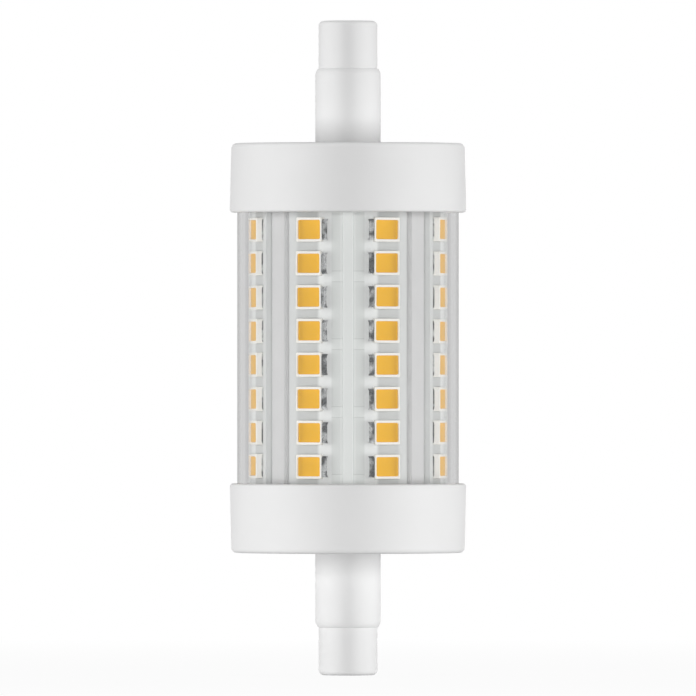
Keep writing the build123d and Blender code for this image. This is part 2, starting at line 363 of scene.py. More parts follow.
@dataclass(frozen=True)
class MaskedBoardFinish(Finish):
    """White solder mask printed over copper, which shows through as faint islands beside the fold.

    Attributes:
        column_shade_colour: sRGB hex of the painted shade laid over the mask along a column of packages.
        margin_shade_colour: sRGB hex of the painted shade laid over the mask along the board's outer margins.
        bridge_colour: sRGB hex of the mask between two islands.
        island_colour: sRGB hex of the mask over an island.
        outline_colour: sRGB hex of the mask at the step of an island's end.
        fold_colour: sRGB hex of the mask on the fold.
        island_pitch_mm: distance between the islands along the board.
        island_length_mm: length of an island.
        island_shift_mm: how far the islands sit above the middle between two rows of packages.
        island_centre_mm: distance of an island's middle from the fold's.
        island_width_mm: width of an island.
        fold_width_mm: width of the fold.
        shaded_column_centre_mm: distance of the middle of a column's painted shade from the fold's.
        shaded_column_width_mm: width of a column's painted shade.
        outline_mm: width of the step at an island's end.
        soft_edge_mm: width over which the mask hides an edge.
        shaded_column_edge_mm: width over which a column's painted shade fades out.
    """

    # Painted shade between the packages, darker than the mask's own colour.
    column_shade_colour: str = "C2C4C3"
    # Painted shade towards the board's outer edges.
    margin_shade_colour: str = "D3D5D4"
    bridge_colour: str = "DADDDB"
    island_colour: str = "D6D9D7"
    outline_colour: str = "C6C9C7"
    fold_colour: str = "E5E8E6"
    island_pitch_mm: float = 8.04
    island_length_mm: float = 6.76
    island_shift_mm: float = 0.45
    island_centre_mm: float = 1.23
    island_width_mm: float = 1.3
    fold_width_mm: float = 1.2
    shaded_column_centre_mm: float = 4.6
    shaded_column_width_mm: float = 2.4
    outline_mm: float = 0.1
    soft_edge_mm: float = 0.06
    shaded_column_edge_mm: float = 0.35

    def tint(self, tree: bpy.types.NodeTree, place: bpy.types.NodeSocket) -> bpy.types.NodeSocket:
        """Lay the columns, the margins, the islands with their outlines and the fold over the mottled mask.

        Args:
            tree: the material's nodes.
            place: position on the piece.

        Returns:
            The output with the surface colour.
        """
        flat = add_node(tree, "ShaderNodeUVMap", uv_map=BOARD_MAP).outputs["UV"]
        spot = add_node(tree, "ShaderNodeSeparateXYZ", {"Vector": flat}).outputs
        from_fold = add_maths(tree, "ABSOLUTE", spot["X"])
        beside = add_maths(tree, "SUBTRACT", from_fold, self.island_centre_mm * MM)
        across = add_maths(tree, "ABSOLUTE", beside)
        along = self.along_island(tree, spot["Y"])
        past_end = add_maths(tree, "SUBTRACT", along, self.island_length_mm / 2 * MM)
        off_end = add_maths(tree, "ABSOLUTE", past_end)
        island = self.inside(tree, across, self.island_width_mm / 2, self.soft_edge_mm)
        body = self.inside(tree, along, self.island_length_mm / 2, self.soft_edge_mm)
        outline = self.inside(tree, off_end, self.outline_mm / 2, self.soft_edge_mm)
        fold = self.inside(tree, from_fold, self.fold_width_mm / 2, self.soft_edge_mm)
        shaded_column_end = self.shaded_column_centre_mm + self.shaded_column_width_mm / 2
        shaded_column_start = self.shaded_column_centre_mm - self.shaded_column_width_mm / 2
        layers = (
            # Painted shade along the columns of packages.
            (self.inside(tree, from_fold, shaded_column_end, self.shaded_column_edge_mm), linear(self.column_shade_colour)),
            (self.inside(tree, from_fold, shaded_column_start, self.shaded_column_edge_mm), super().tint(tree, place)),
            (island, linear(self.bridge_colour)),
            (add_maths(tree, "MULTIPLY", island, body), linear(self.island_colour)),
            (add_maths(tree, "MULTIPLY", island, outline), linear(self.outline_colour)),
            (fold, linear(self.fold_colour)),
        )
        # Painted shade along the board's outer margins, under all the other layers.
        colour = linear(self.margin_shade_colour)
        for cover, layer in layers:
            colour = mix_colours(tree, cover, colour, layer)
        return colour

    def along_island(self, tree: bpy.types.NodeTree, height: bpy.types.NodeSocket) -> bpy.types.NodeSocket:
        """Measure the distance from the nearest island's middle, along the board.

        Args:
            tree: the material's nodes.
            height: position along the board, in metres.

        Returns:
            The output with the distance in metres.
        """
        shift = (self.island_shift_mm + self.island_pitch_mm / 2) * MM
        level = add_maths(tree, "SUBTRACT", height, shift)
        return add_maths(tree, "PINGPONG", level, self.island_pitch_mm / 2 * MM)

    def inside(
        self, tree: bpy.types.NodeTree, distance: bpy.types.NodeSocket, half_mm: float, soft_mm: float
    ) -> bpy.types.NodeSocket:
        """Fade from 1 within half a width to 0 outside it.

        Args:
            tree: the material's nodes.
            distance: distance from the middle, in metres.
            half_mm: half of the width.
            soft_mm: width of the fade.

        Returns:
            The output with the fade.
        """
        return add_node(
            tree,
            "ShaderNodeMapRange",
            {
                "Value": distance,
                "From Min": (half_mm - soft_mm / 2) * MM,
                "From Max": (half_mm + soft_mm / 2) * MM,
                "To Min": 1.0,
                "To Max": 0.0,
            },
        ).outputs["Result"]


@dataclass(frozen=True)
class CoatedFinish(Finish):
    """A finish under a clear, glossy skin.

    Attributes:
        coat: weight of the skin.
        coat_roughness: roughness of the skin.
    """

    coat: float = 0.5
    coat_roughness: float = 0.1

    def adjust(self, shader: bpy.types.Node) -> None:
        """Lay the skin over the finish."""
        shader.inputs["Coat Weight"].default_value = self.coat
        shader.inputs["Coat Roughness"].default_value = self.coat_roughness


@dataclass(frozen=True)
class PatchedFinish(Finish):
    """A finish whose two colours lie in clear patches.

    Attributes:
        dark_until: noise level up to which the dark colour is full.
        light_from: noise level from which the light colour is full.
    """

    dark_until: float = 0.42
    light_from: float = 0.6

    def tint(self, tree: bpy.types.NodeTree, place: bpy.types.NodeSocket) -> bpy.types.NodeSocket:
        """Draw the patches.

        Args:
            tree: the material's nodes.
            place: position on the piece.

        Returns:
            The output with the surface colour.
        """
        noise = add_noise(tree, place, self.mottle_mm, PLAIN_DETAIL)
        patch = add_node(
            tree,
            "ShaderNodeMapRange",
            {"Value": noise, "From Min": self.dark_until, "From Max": self.light_from},
        ).outputs["Result"]
        return mix_colours(tree, patch, linear(self.shade), linear(self.colour))


# White polybutylene terephthalate, moulded in a spark-eroded tool: satin, with a broad soft highlight.
# The tool's grain is near 0.05 mm and is drawn four times as coarse, so that it shows at all.
CAP_PLASTIC = Finish(
    name="moulded_white_pbt",
    colour="E3E3E3",
    shade="DEDEDE",
    mottle_mm=6.0,
    roughness=0.65,
    roughness_spread=0.04,
    grain_mm=0.2,
    grain_depth_mm=0.0012,
    ior=1.45,
)

# Clear polycarbonate, extruded: bends the view at the tube's sides and carries faint lines along the drawing.
COVER_PLASTIC = ExtrudedClearFinish(
    name="extruded_clear_polycarbonate",
    colour="FDFDFD",
    shade="FAFAFA",
    mottle_mm=2.5,
    roughness=0.02,
    roughness_spread=0.01,
    grain_mm=1.5,
    grain_depth_mm=0.0004,
    ior=1.585,
)

# White glass-filled polycarbonate, moulded: matt, with flow marks a few millimetres across.
CORE_PLASTIC = Finish(
    name="moulded_white_filled_polycarbonate",
    colour="D4D4D4",
    shade="CDCDCD",
    mottle_mm=3.0,
    roughness=0.55,
    roughness_spread=0.06,
    grain_mm=0.25,
    grain_depth_mm=0.003,
    ior=1.58,
)

# White solder-mask ink, screened on the board and baked: an eggshell gloss with an orange-peel surface.
BOARD_MASK = MaskedBoardFinish(
    name="screened_white_solder_mask",
    colour="E7E9E8",
    shade="E1E3E2",
    mottle_mm=2.0,
    roughness=0.38,
    roughness_spread=0.05,
    grain_mm=0.35,
    grain_depth_mm=0.002,
    ior=1.54,
)

# White polyphthalamide with titanium dioxide, moulded: the whitest part, so that its cup reflects the light.
PACKAGE_PLASTIC = Finish(
    name="moulded_white_polyphthalamide",
    colour="FBF9F4",
    shade="F4F1EA",
    mottle_mm=1.0,
    roughness=0.42,
    roughness_spread=0.05,
    grain_mm=0.12,
    grain_depth_mm=0.002,
    ior=1.54,
)

# Yellow phosphor powder in silicone, dispensed and cured: grainy colour under a smooth, glossy top.
PHOSPHOR_FILL = CoatedFinish(
    name="cast_phosphor_silicone",
    colour="F1BA30",
    shade="E9AF28",
    mottle_mm=0.22,
    roughness=0.45,
    roughness_spread=0.06,
    grain_mm=0.12,
    grain_depth_mm=0.004,
    ior=1.41,
    coat=0.15,
    coat_roughness=0.15,
)

# Tin-silver-copper solder, reflowed, with ripples from cooling; its bright and dark patches are painted
# reflection, laid at random, standing in for the light and dark surroundings that a shiny joint mirrors.
SOLDER_METAL = PatchedFinish(
    name="reflowed_tin_solder",
    colour="DADCDD",
    shade="727577",
    mottle_mm=1.1,
    roughness=0.28,
    roughness_spread=0.1,
    grain_mm=0.5,
    grain_depth_mm=0.09,
    metallic=1.0,
)

# Brass with nickel plate, turned and tumbled: a warm grey metal with a soft shine.
CONTACT_METAL = Finish(
    name="plated_nickel_on_brass",
    colour="C9C3B8",
    shade="B7B1A6",
    mottle_mm=0.8,
    roughness=0.24,
    roughness_spread=0.06,
    grain_mm=0.15,
    grain_depth_mm=0.003,
    metallic=1.0,
)

# Copper strip, dipped in tin: pale grey with dull patches.
TINNED_METAL = Finish(
    name="dipped_tin_on_copper",
    colour="C4C4C2",
    shade="A9A9A6",
    mottle_mm=0.7,
    roughness=0.35,
    roughness_spread=0.08,
    grain_mm=0.2,
    grain_depth_mm=0.004,
    metallic=1.0,
)

# Glass cloth in epoxy under green mask, pressed and screened: an even green with a soft shine.
DRIVER_LAMINATE = Finish(
    name="pressed_glass_epoxy_laminate",
    colour="3F7A52",
    shade="326544",
    mottle_mm=1.2,
    roughness=0.4,
    roughness_spread=0.06,
    grain_mm=0.5,
    grain_depth_mm=0.01,
    ior=1.55,
)

# Black epoxy, transfer-moulded: matt and slightly pitted.
BLACK_EPOXY = Finish(
    name="moulded_black_epoxy",
    colour="2B2B2C",
    shade="222223",
    mottle_mm=0.6,
    roughness=0.6,
    roughness_spread=0.08,
    grain_mm=0.1,
    grain_depth_mm=0.004,
    ior=1.55,
)

# Vinyl shrink sleeve on a drawn aluminium can: smooth and a little glossy.
CAPACITOR_SLEEVE = CoatedFinish(
    name="shrunk_vinyl_sleeve",
    colour="24364F",
    shade="1D2D43",
    mottle_mm=2.0,
    roughness=0.4,
    roughness_spread=0.05,
    grain_mm=0.4,
    grain_depth_mm=0.003,
    ior=1.53,
    coat=0.3,
)

# Yellow epoxy, cast round a wound film: smooth with shallow sink marks.
YELLOW_RESIN = Finish(
    name="cast_yellow_epoxy",
    colour="D8AE3C",
    shade="CBA032",
    mottle_mm=1.5,
    roughness=0.35,
    roughness_spread=0.05,
    grain_mm=0.6,
    grain_depth_mm=0.01,
    ior=1.55,
)

# Nickel-zinc ferrite, pressed and sintered: dark grey and dull.
FERRITE = Finish(
    name="sintered_ferrite",
    colour="45464A",
    shade="38393C",
    mottle_mm=0.5,
    roughness=0.65,
    roughness_spread=0.08,
    grain_mm=0.12,
    grain_depth_mm=0.006,
    ior=2.0,
)

# Alumina, pressed and glazed: off-white with a soft shine.
FUSE_CERAMIC = CoatedFinish(
    name="glazed_alumina",
    colour="EDEAE2",
    shade="E3DFD5",
    mottle_mm=1.0,
    roughness=0.4,
    roughness_spread=0.05,
    grain_mm=0.3,
    grain_depth_mm=0.004,
    ior=1.76,
)

NODE_FINISHES = {
    "board_links": TINNED_METAL,
    "feed_pins": TINNED_METAL,
    "upper_lead": TINNED_METAL,
    "lower_lead": TINNED_METAL,
    "driver_board": DRIVER_LAMINATE,
    "bridge_rectifier": BLACK_EPOXY,
    "driver_chip": BLACK_EPOXY,
    "smoothing_capacitor": CAPACITOR_SLEEVE,
    "film_capacitor": YELLOW_RESIN,
    "inductor": FERRITE,
    "input_fuse": FUSE_CERAMIC,
}


def round_corner(bm: bmesh.types.BMesh, corner: bmesh.types.BMVert, reach: float, segments: int) -> None:
    """Round one corner of a flat outline.

    Args:
        bm: the mesh.
        corner: the outline's corner.
        reach: distance from the corner at which the rounding starts.
        segments: steps of the rounding.
    """
    bmesh.ops.bevel(
        bm,
        geom=[corner],
        offset=reach,
        segments=segments,
        profile=ROUND_PROFILE,
        affect="VERTICES",
        material=-1,
    )


def round_edges(
    bm: bmesh.types.BMesh, edges: list[bmesh.types.BMEdge], reach: float, segments: int
) -> list[bmesh.types.BMVert]:
    """Round edges of a solid.

    Args:
        bm: the mesh.
        edges: the edges.
        reach: distance from an edge at which its rounding starts.
        segments: steps of the rounding.

    Returns:
        The points of the rounding.
    """
    made = bmesh.ops.bevel(
        bm,
        geom=edges,
        offset=reach,
        segments=segments,
        profile=ROUND_PROFILE,
        affect="EDGES",
        material=-1,
    )
    return made["verts"]


@dataclass(frozen=True)
class Corner:
    """A corner of a turned outline.

    Attributes:
        radius: distance from the lamp's axis.
        z: height along the axis.
        reach: distance from the corner at which its rounding starts.
        steps: steps of the rounding, of which a sharp corner has none.
    """

    radius: float
    z: float
    reach: float = 0.0
    steps: int = 0


def lay_outline(bm: bmesh.types.BMesh, outline: list[Corner]) -> None:
    """Draw a closed outline with rounded corners in the XZ plane.

    A point close to both ends of each straight side keeps the shading of the walls straight.

    Args:
        bm: the mesh.
        outline: the corners, in order.
    """
    points = [bm.verts.new((corner.radius, 0, corner.z)) for corner in outline]
    bm.faces.new(points)
    for point, corner in zip(points, outline):
        if corner.steps:
            round_corner(bm, point, corner.reach, corner.steps)
    for side in [edge for edge in bm.edges if edge.calc_length() > SHORTEST_SIDE_MM]:
        for point in side.verts[:]:
            bmesh.utils.edge_split(side, point, SUPPORT_MM / side.calc_length())


def turn_outline(bm: bmesh.types.BMesh, steps: int) -> None:
    """Turn a closed outline in the XZ plane once round the lamp's axis.

    Args:
        bm: the mesh, which holds only the outline's face.
        steps: parts of the full turn.
    """
    bmesh.ops.delete(bm, geom=bm.faces[:], context="FACES_ONLY")
    bmesh.ops.spin(
        bm,
        geom=bm.verts[:] + bm.edges[:],
        cent=(0, 0, 0),
        axis=(0, 0, 1),
        angle=FULL_TURN,
        steps=steps,
        use_merge=True,
    )
    bmesh.ops.remove_doubles(bm, verts=bm.verts, dist=MERGE_MM)
    bmesh.ops.dissolve_degenerate(bm, edges=bm.edges, dist=MERGE_MM)
    bmesh.ops.recalc_face_normals(bm, faces=bm.faces)


def mirror_to_end(bm: bmesh.types.BMesh, end: End) -> None:
    """Turn a shape of the upper end into that of the given end.

    Args:
        bm: the mesh.
        end: the end that it belongs to.
    """
    bmesh.ops.scale(bm, vec=(1, 1, end.value), verts=bm.verts)
    bmesh.ops.recalc_face_normals(bm, faces=bm.faces)


def settle(
    bm: bmesh.types.BMesh, name: str, material: bpy.types.Material, nodes: list[str]
) -> bpy.types.Object:
    """Make a finished mesh an object that rides on the lamp in place of its CAD nodes.

    Args:
        bm: the mesh in millimetres, which is freed.
        name: name of the piece.
        material: its finish.
        nodes: CAD nodes that it stands for.

    Returns:
        The new object.
    """
    bmesh.ops.scale(bm, vec=(MM, MM, MM), verts=bm.verts)
    for face in bm.faces:
        face.smooth = True
    for edge in bm.edges:
        edge.smooth = len(edge.link_faces) == 2 and edge.calc_face_angle() < SHARP_ANGLE
    mesh = bpy.data.meshes.new(name)
    bm.to_mesh(mesh)
    bm.free()
    mesh.materials.append(material)
    piece = bpy.data.objects.new(name, mesh)
    bpy.context.scene.collection.objects.link(piece)
    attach(piece, BODY)
    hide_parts(*nodes)
    LOG.info("%s: %d faces, for %s", name, len(mesh.polygons), ", ".join(nodes))
    return piece


def measure(node: str) -> tuple[float, float, float]:
    """Measure a CAD node from the lamp's axis and from its middle.

    Args:
        node: name of the node.

    Returns:
        Its radius, and the distances of its nearer and its farther end from the middle, in millimetres.
    """
    low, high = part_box(node)
    near, far = sorted((abs(low.z), abs(high.z)))
    return high.x / MM, near / MM, far / MM


@dataclass
class EndCap:
    """An end cap, turned from its outline: tapered cup, shoulder, neck, nose and contact recess."""

    end: End
    rim_radius: float = field(init=False)
    rim_z: float = field(init=False)
    tip_z: float = field(init=False)
    wall: float = 0.85
    taper: float = 0.2
    cup_length: float = 8.25
    tube_depth: float = 4.5
    core_depth: float = 6.75
    neck_radius: float = 3.9
    nose_radius: float = 3.5
    nose_length: float = 5.65
    recess_radius: float = 2.1
    recess_depth: float = 1.55
    contact_bore: float = 1.85
    seat_flat: float = 10.4
    seat_sides: int = 8
    lip_round: float = 0.15
    rim_round: float = 0.36
    shoulder_round: float = 0.58
    neck_end_drop: float = 0.3
    neck_end_round: float = 0.49
    tip_round: float = 0.6
    recess_round: float = 0.22
    lip_steps: int = 2
    rim_steps: int = 6
    shoulder_steps: int = 8
    neck_end_steps: int = 6
    tip_steps: int = 8
    recess_steps: int = 4
    turn_steps: int = 128

    def __post_init__(self) -> None:
        """Take the outer sizes from the CAD cap."""
        self.rim_radius, self.rim_z, self.tip_z = measure(f"{self.side}_end_cap")

    @property
    def side(self) -> str:
        """Name of the cap's end of the lamp."""
        return self.end.name.lower()

    def build(self) -> bpy.types.Object:
        """Build and dress the cap.

        Returns:
            The cap's object.
        """
        bm = bmesh.new()
        bore_radius = self.rim_radius - self.wall
        shoulder_z = self.rim_z + self.cup_length
        step_z = self.tip_z - self.nose_length
        recess_floor_z = self.tip_z - self.recess_depth
        seat_corner = self.seat_flat / math.cos(math.pi / self.seat_sides)
        outline = [
            Corner(bore_radius, self.rim_z, self.lip_round, self.lip_steps),
            Corner(self.rim_radius, self.rim_z, self.rim_round, self.rim_steps),
            Corner(self.rim_radius - self.taper, shoulder_z, self.shoulder_round, self.shoulder_steps),
            Corner(self.neck_radius, shoulder_z),
            Corner(self.neck_radius, step_z - self.neck_end_drop, self.neck_end_round, self.neck_end_steps),
            Corner(self.nose_radius, step_z),
            Corner(self.nose_radius, self.tip_z, self.tip_round, self.tip_steps),
            Corner(self.recess_radius, self.tip_z, self.recess_round, self.recess_steps),
            Corner(self.recess_radius, recess_floor_z),
            Corner(self.contact_bore, recess_floor_z),
            Corner(self.contact_bore, self.rim_z + self.core_depth),
            Corner(seat_corner, self.rim_z + self.core_depth),
            Corner(seat_corner, self.rim_z + self.tube_depth),
            Corner(bore_radius, self.rim_z + self.tube_depth),
        ]
        lay_outline(bm, outline)
        turn_outline(bm, self.turn_steps)
        self.flatten_seat(bm, seat_corner)
        mirror_to_end(bm, self.end)
        return settle(
            bm, f"{self.side}_cap_moulding", CAP_PLASTIC.material(), [f"{self.side}_end_cap"]
        )

    def flatten_seat(self, bm: bmesh.types.BMesh, seat_corner: float) -> None:
        """Give the round seat of the core its flat sides.

        Args:
            bm: the cap's mesh.
            seat_corner: radius of the seat's corners.
        """
        side_angle = FULL_TURN / self.seat_sides
        for vert in bm.verts:
            radius = math.hypot(vert.co.x, vert.co.y)
            if abs(radius - seat_corner) < MERGE_MM:
                off_flat = math.atan2(vert.co.y, vert.co.x) % side_angle - side_angle / 2
                share = self.seat_flat / math.cos(off_flat) / radius
                vert.co.x *= share
                vert.co.y *= share


@dataclass
class Contact:
    """A contact: a plug with a crowned face at the bottom of the nose's recess."""

    end: End
    radius: float = field(init=False)
    back_z: float = field(init=False)
    face_z: float = field(init=False)
    crown_radius: float = 1.2
    crown_height: float = 0.15
    edge_round: float = 0.12
    crown_round: float = 0.4
    round_steps: int = 4
    turn_steps: int = 64

    def __post_init__(self) -> None:
        """Take the outer sizes from the CAD contact."""
        self.radius, self.back_z, self.face_z = measure(f"{self.side}_contact")

    @property
    def side(self) -> str:
        """Name of the contact's end of the lamp."""
        return self.end.name.lower()

    def build(self) -> bpy.types.Object:
        """Build and dress the contact.

        Returns:
            The contact's object.
        """
        bm = bmesh.new()
        outline = [
            Corner(0, self.back_z),
            Corner(self.radius, self.back_z),
            Corner(self.radius, self.face_z - self.crown_height, self.edge_round, self.round_steps),
            Corner(self.crown_radius, self.face_z, self.crown_round, self.round_steps),
            Corner(0, self.face_z),
        ]
        lay_outline(bm, outline)
        turn_outline(bm, self.turn_steps)
        mirror_to_end(bm, self.end)
        return settle(
            bm, f"{self.side}_contact_plug", CONTACT_METAL.material(), [f"{self.side}_contact"]
        )


@dataclass
class CoverTube:
    """The clear tube over the light engine."""

    outer_radius: float = field(init=False)
    end_z: float = field(init=False)
    wall: float = 1.3
    edge_round: float = 0.15
    edge_steps: int = 3
    turn_steps: int = 192

    def __post_init__(self) -> None:
        """Take the outer sizes from the CAD tube."""
        self.outer_radius, _, self.end_z = measure("cover_tube")

    def build(self) -> bpy.types.Object:
        """Build and dress the tube, which lamps and scattered light pass straight through.

        Returns:
            The tube's object.
        """
        bm = bmesh.new()
        bore_radius = self.outer_radius - self.wall
        outline = [
            Corner(bore_radius, -self.end_z, self.edge_round, self.edge_steps),
            Corner(self.outer_radius, -self.end_z, self.edge_round, self.edge_steps),
            Corner(self.outer_radius, self.end_z, self.edge_round, self.edge_steps),
            Corner(bore_radius, self.end_z, self.edge_round, self.edge_steps),
        ]
        lay_outline(bm, outline)
        turn_outline(bm, self.turn_steps)
        piece = settle(bm, "clear_cover", COVER_PLASTIC.material(), ["cover_tube"])
        piece.visible_shadow = False
        piece.visible_diffuse = False
        return piece


@dataclass
class Core:
    """The eight-sided core, a copy of the CAD solid whose ribs get the round edges of a moulding."""

    node: bpy.types.Object
    rib_width: float = 2.0
    rib_chamfer: float = 0.4
    rib_round: float = 0.1
    rib_steps: int = 3
    rib_offset: float = 45.0
    flat_angle: float = 1.0

    def build(self) -> bpy.types.Object:
        """Build and dress the core.

        Returns:
            The core's object.
        """
        bm = bmesh.new()
        bm.from_mesh(self.node.data)
        bmesh.ops.scale(bm, vec=(1 / MM, 1 / MM, 1 / MM), verts=bm.verts)
        bmesh.ops.remove_doubles(bm, verts=bm.verts, dist=MERGE_MM)
        limit = math.radians(self.flat_angle)
        bmesh.ops.dissolve_limit(bm, angle_limit=limit, verts=bm.verts, edges=bm.edges)
        for facing in Facing:
            self.round_rib(bm, math.radians(facing.value + self.rib_offset))
        bmesh.ops.recalc_face_normals(bm, faces=bm.faces)
        return settle(bm, "core_moulding", CORE_PLASTIC.material(), ["core"])

    def round_rib(self, bm: bmesh.types.BMesh, angle: float) -> None:
        """Draw a rib's chamfers out to corners and round these.

        Args:
            bm: the core's mesh.
            angle: direction of the rib from +X.
        """
        outwards = Vector((math.cos(angle), math.sin(angle), 0))
        around = Vector((-math.sin(angle), math.cos(angle), 0))
        top = max(vert.co.dot(outwards) for vert in bm.verts)
        lowest = top - self.rib_chamfer - SUPPORT_MM
        innermost = self.rib_width / 2 - self.rib_chamfer - SUPPORT_MM
        corners = [
            vert
            for vert in bm.verts
            if vert.co.dot(outwards) > lowest and abs(vert.co.dot(around)) > innermost
        ]
        for vert in corners:
            slide = math.copysign(self.rib_width / 2, vert.co.dot(around))
            vert.co = outwards * top + around * slide + Vector((0, 0, vert.co.z))
        bmesh.ops.remove_doubles(bm, verts=corners, dist=MERGE_MM)
        edges = [
            edge
            for edge in bm.edges
            if all(vert.co.dot(outwards) > top - MERGE_MM for vert in edge.verts)
            and abs(edge.verts[0].co.z - edge.verts[1].co.z) > self.rib_width
        ]
        round_edges(bm, edges, self.rib_round, self.rib_steps)


@dataclass
class PackageShapes:
    """Shapes of one LED package on a flat board: X goes round the lamp, Y along it and Z outwards."""

    length: float = 3.1
    width: float = 2.9
    height: float = 0.6
    rim: float = 0.18
    side_rim: float = 0.3
    cup_depth: float = 0.35
    corner_round: float = 0.12
    window_round: float = 0.16
    edge_round: float = 0.05
    fill_dip: float = 0.22
    fill_sag: float = 0.03
    fill_overlap: float = 0.01
    meniscus: float = 0.12
    fold_solder_reach: float = 0.45
    fold_solder_height: float = 0.5
    edge_solder_reach: float = 0.12
    edge_solder_height: float = 0.1
    solder_lip: float = 0.03
    solder_width: float = 2.5
    solder_end: float = 0.3
    solder_spread: float = 1.3
    solder_thinning: float = 0.55
    corner_steps: int = 2
    edge_steps: int = 1
    solder_steps: int = 5

    def plate(
        self, bm: bmesh.types.BMesh, length: float, width: float, z: float, reach: float
    ) -> bmesh.types.BMFace:
        """Lay a flat rectangle with rounded corners.

        Args:
            bm: the mesh.
            length: size round the lamp.
            width: size along the lamp.
            z: height above the board.
            reach: rounding of the corners.

        Returns:
            The rectangle's face, which points outwards.
        """
        before = set(bm.faces)
        corners = [
            bm.verts.new((x * length / 2, y * width / 2, z)) for x, y in ((-1, -1), (1, -1), (1, 1), (-1, 1))
        ]
        bm.faces.new(corners)
        for corner in corners:
            round_corner(bm, corner, reach, self.corner_steps)
        return next(face for face in bm.faces if face not in before)

    def raise_face(self, bm: bmesh.types.BMesh, face: bmesh.types.BMFace, rise: float) -> bmesh.types.BMFace:
        """Copy a face along Z, with walls between the two.

        Args:
            bm: the mesh.
            face: the face, which stays as it is.
            rise: how far the copy lies from it, along Z.

        Returns:
            The copy.
        """
        made = bmesh.ops.extrude_face_region(bm, geom=[face], use_keep_orig=True)["geom"]
        moved = [item for item in made if isinstance(item, bmesh.types.BMVert)]
        bmesh.ops.translate(bm, vec=(0, 0, rise), verts=moved)
        return next(item for item in made if isinstance(item, bmesh.types.BMFace))

    def body(self) -> bpy.types.Mesh:
        """Model the white body with its cup.

        Returns:
            The body as mesh data in millimetres.
        """
        bm = bmesh.new()
        foot = self.plate(bm, self.length, self.width, 0, self.corner_round)
        top = self.raise_face(bm, foot, self.height)
        round_edges(bm, top.edges[:], self.edge_round, self.edge_steps)
        top = max(bm.faces, key=lambda face: (face.calc_center_median().z, face.calc_area()))
        outer = top.edges[:]
        bmesh.ops.delete(bm, geom=[top], context="FACES_ONLY")
        window = self.plate(
            bm,
            self.length - 2 * self.rim,
            self.width - 2 * self.side_rim,
            self.height,
            self.window_round,
        )
        inner = window.edges[:]
        self.raise_face(bm, window, -self.cup_depth)
        bmesh.ops.delete(bm, geom=[window], context="FACES_ONLY")
        bmesh.ops.bridge_loops(bm, edges=outer + inner)
        bmesh.ops.recalc_face_normals(bm, faces=bm.faces)
        return self.shape(bm, "package_body")

    def fill(self) -> bpy.types.Mesh:
        """Model the phosphor fill, which creeps up the cup's wall at its edge.

        Returns:
            The fill as mesh data in millimetres.
        """
        bm = bmesh.new()
        floor_z = self.height - self.cup_depth
        floor = self.plate(
            bm,
            self.length - 2 * self.rim + 2 * self.fill_overlap,
            self.width - 2 * self.side_rim + 2 * self.fill_overlap,
            floor_z,
            self.window_round,
        )
        top = self.raise_face(bm, floor, self.cup_depth - self.fill_dip)
        bmesh.ops.inset_region(bm, faces=[top], thickness=self.meniscus, depth=-self.fill_sag)
        bmesh.ops.recalc_face_normals(bm, faces=bm.faces)
        return self.shape(bm, "phosphor_fill")

    def joint(self, reach: float, height: float) -> bpy.types.Mesh:
        """Model a solder joint at the package's +X end: a hollow fillet whose ends run out lower and wider.

        Args:
            reach: how far the fillet reaches over the board.
            height: how far it climbs up the package.

        Returns:
            The joint as mesh data in millimetres.
        """
        bm = bmesh.new()
        start = bm.verts.new((1, 0, 0))
        bmesh.ops.spin(
            bm,
            geom=[start],
            cent=(1, 0, 1),
            axis=(0, 1, 0),
            angle=math.pi / 2,
            steps=self.solder_steps,
        )
        arc = sorted(bm.verts, key=lambda vert: vert.co.z)
        bmesh.ops.scale(bm, vec=(reach, 1, height - self.solder_lip), verts=arc)
        bmesh.ops.translate(bm, vec=(0, 0, self.solder_lip), verts=arc)
        foot = [bm.verts.new((x, 0, 0)) for x in (0, reach)]
        face = bm.faces.new([*foot, *arc])
        half = self.solder_width / 2
        bmesh.ops.translate(bm, vec=(0, -half, 0), verts=bm.verts)
        near = face.verts[:]
        far = []
        for advance in (self.solder_end, self.solder_width - 2 * self.solder_end, self.solder_end):
            made = bmesh.ops.extrude_face_region(bm, geom=[face])["geom"]
            far = [item for item in made if isinstance(item, bmesh.types.BMVert)]
            bmesh.ops.translate(bm, vec=(0, advance, 0), verts=far)
            face = next(item for item in made if isinstance(item, bmesh.types.BMFace))
        bmesh.ops.scale(bm, vec=(self.solder_spread, 1, self.solder_thinning), verts=near + far)
        bmesh.ops.holes_fill(bm, edges=[edge for edge in bm.edges if edge.is_boundary])
        bmesh.ops.translate(bm, vec=(self.length / 2, 0, 0), verts=bm.verts)
        bmesh.ops.recalc_face_normals(bm, faces=bm.faces)
        return self.shape(bm, "solder_joint")

    def shape(self, bm: bmesh.types.BMesh, name: str) -> bpy.types.Mesh:
        """Keep a mesh as the shape to repeat.

        Args:
            bm: the mesh, which is freed.
            name: name of the mesh data.

        Returns:
            The mesh data.
        """
        made = bpy.data.meshes.new(name)
        bm.to_mesh(made)
        bm.free()
        return made


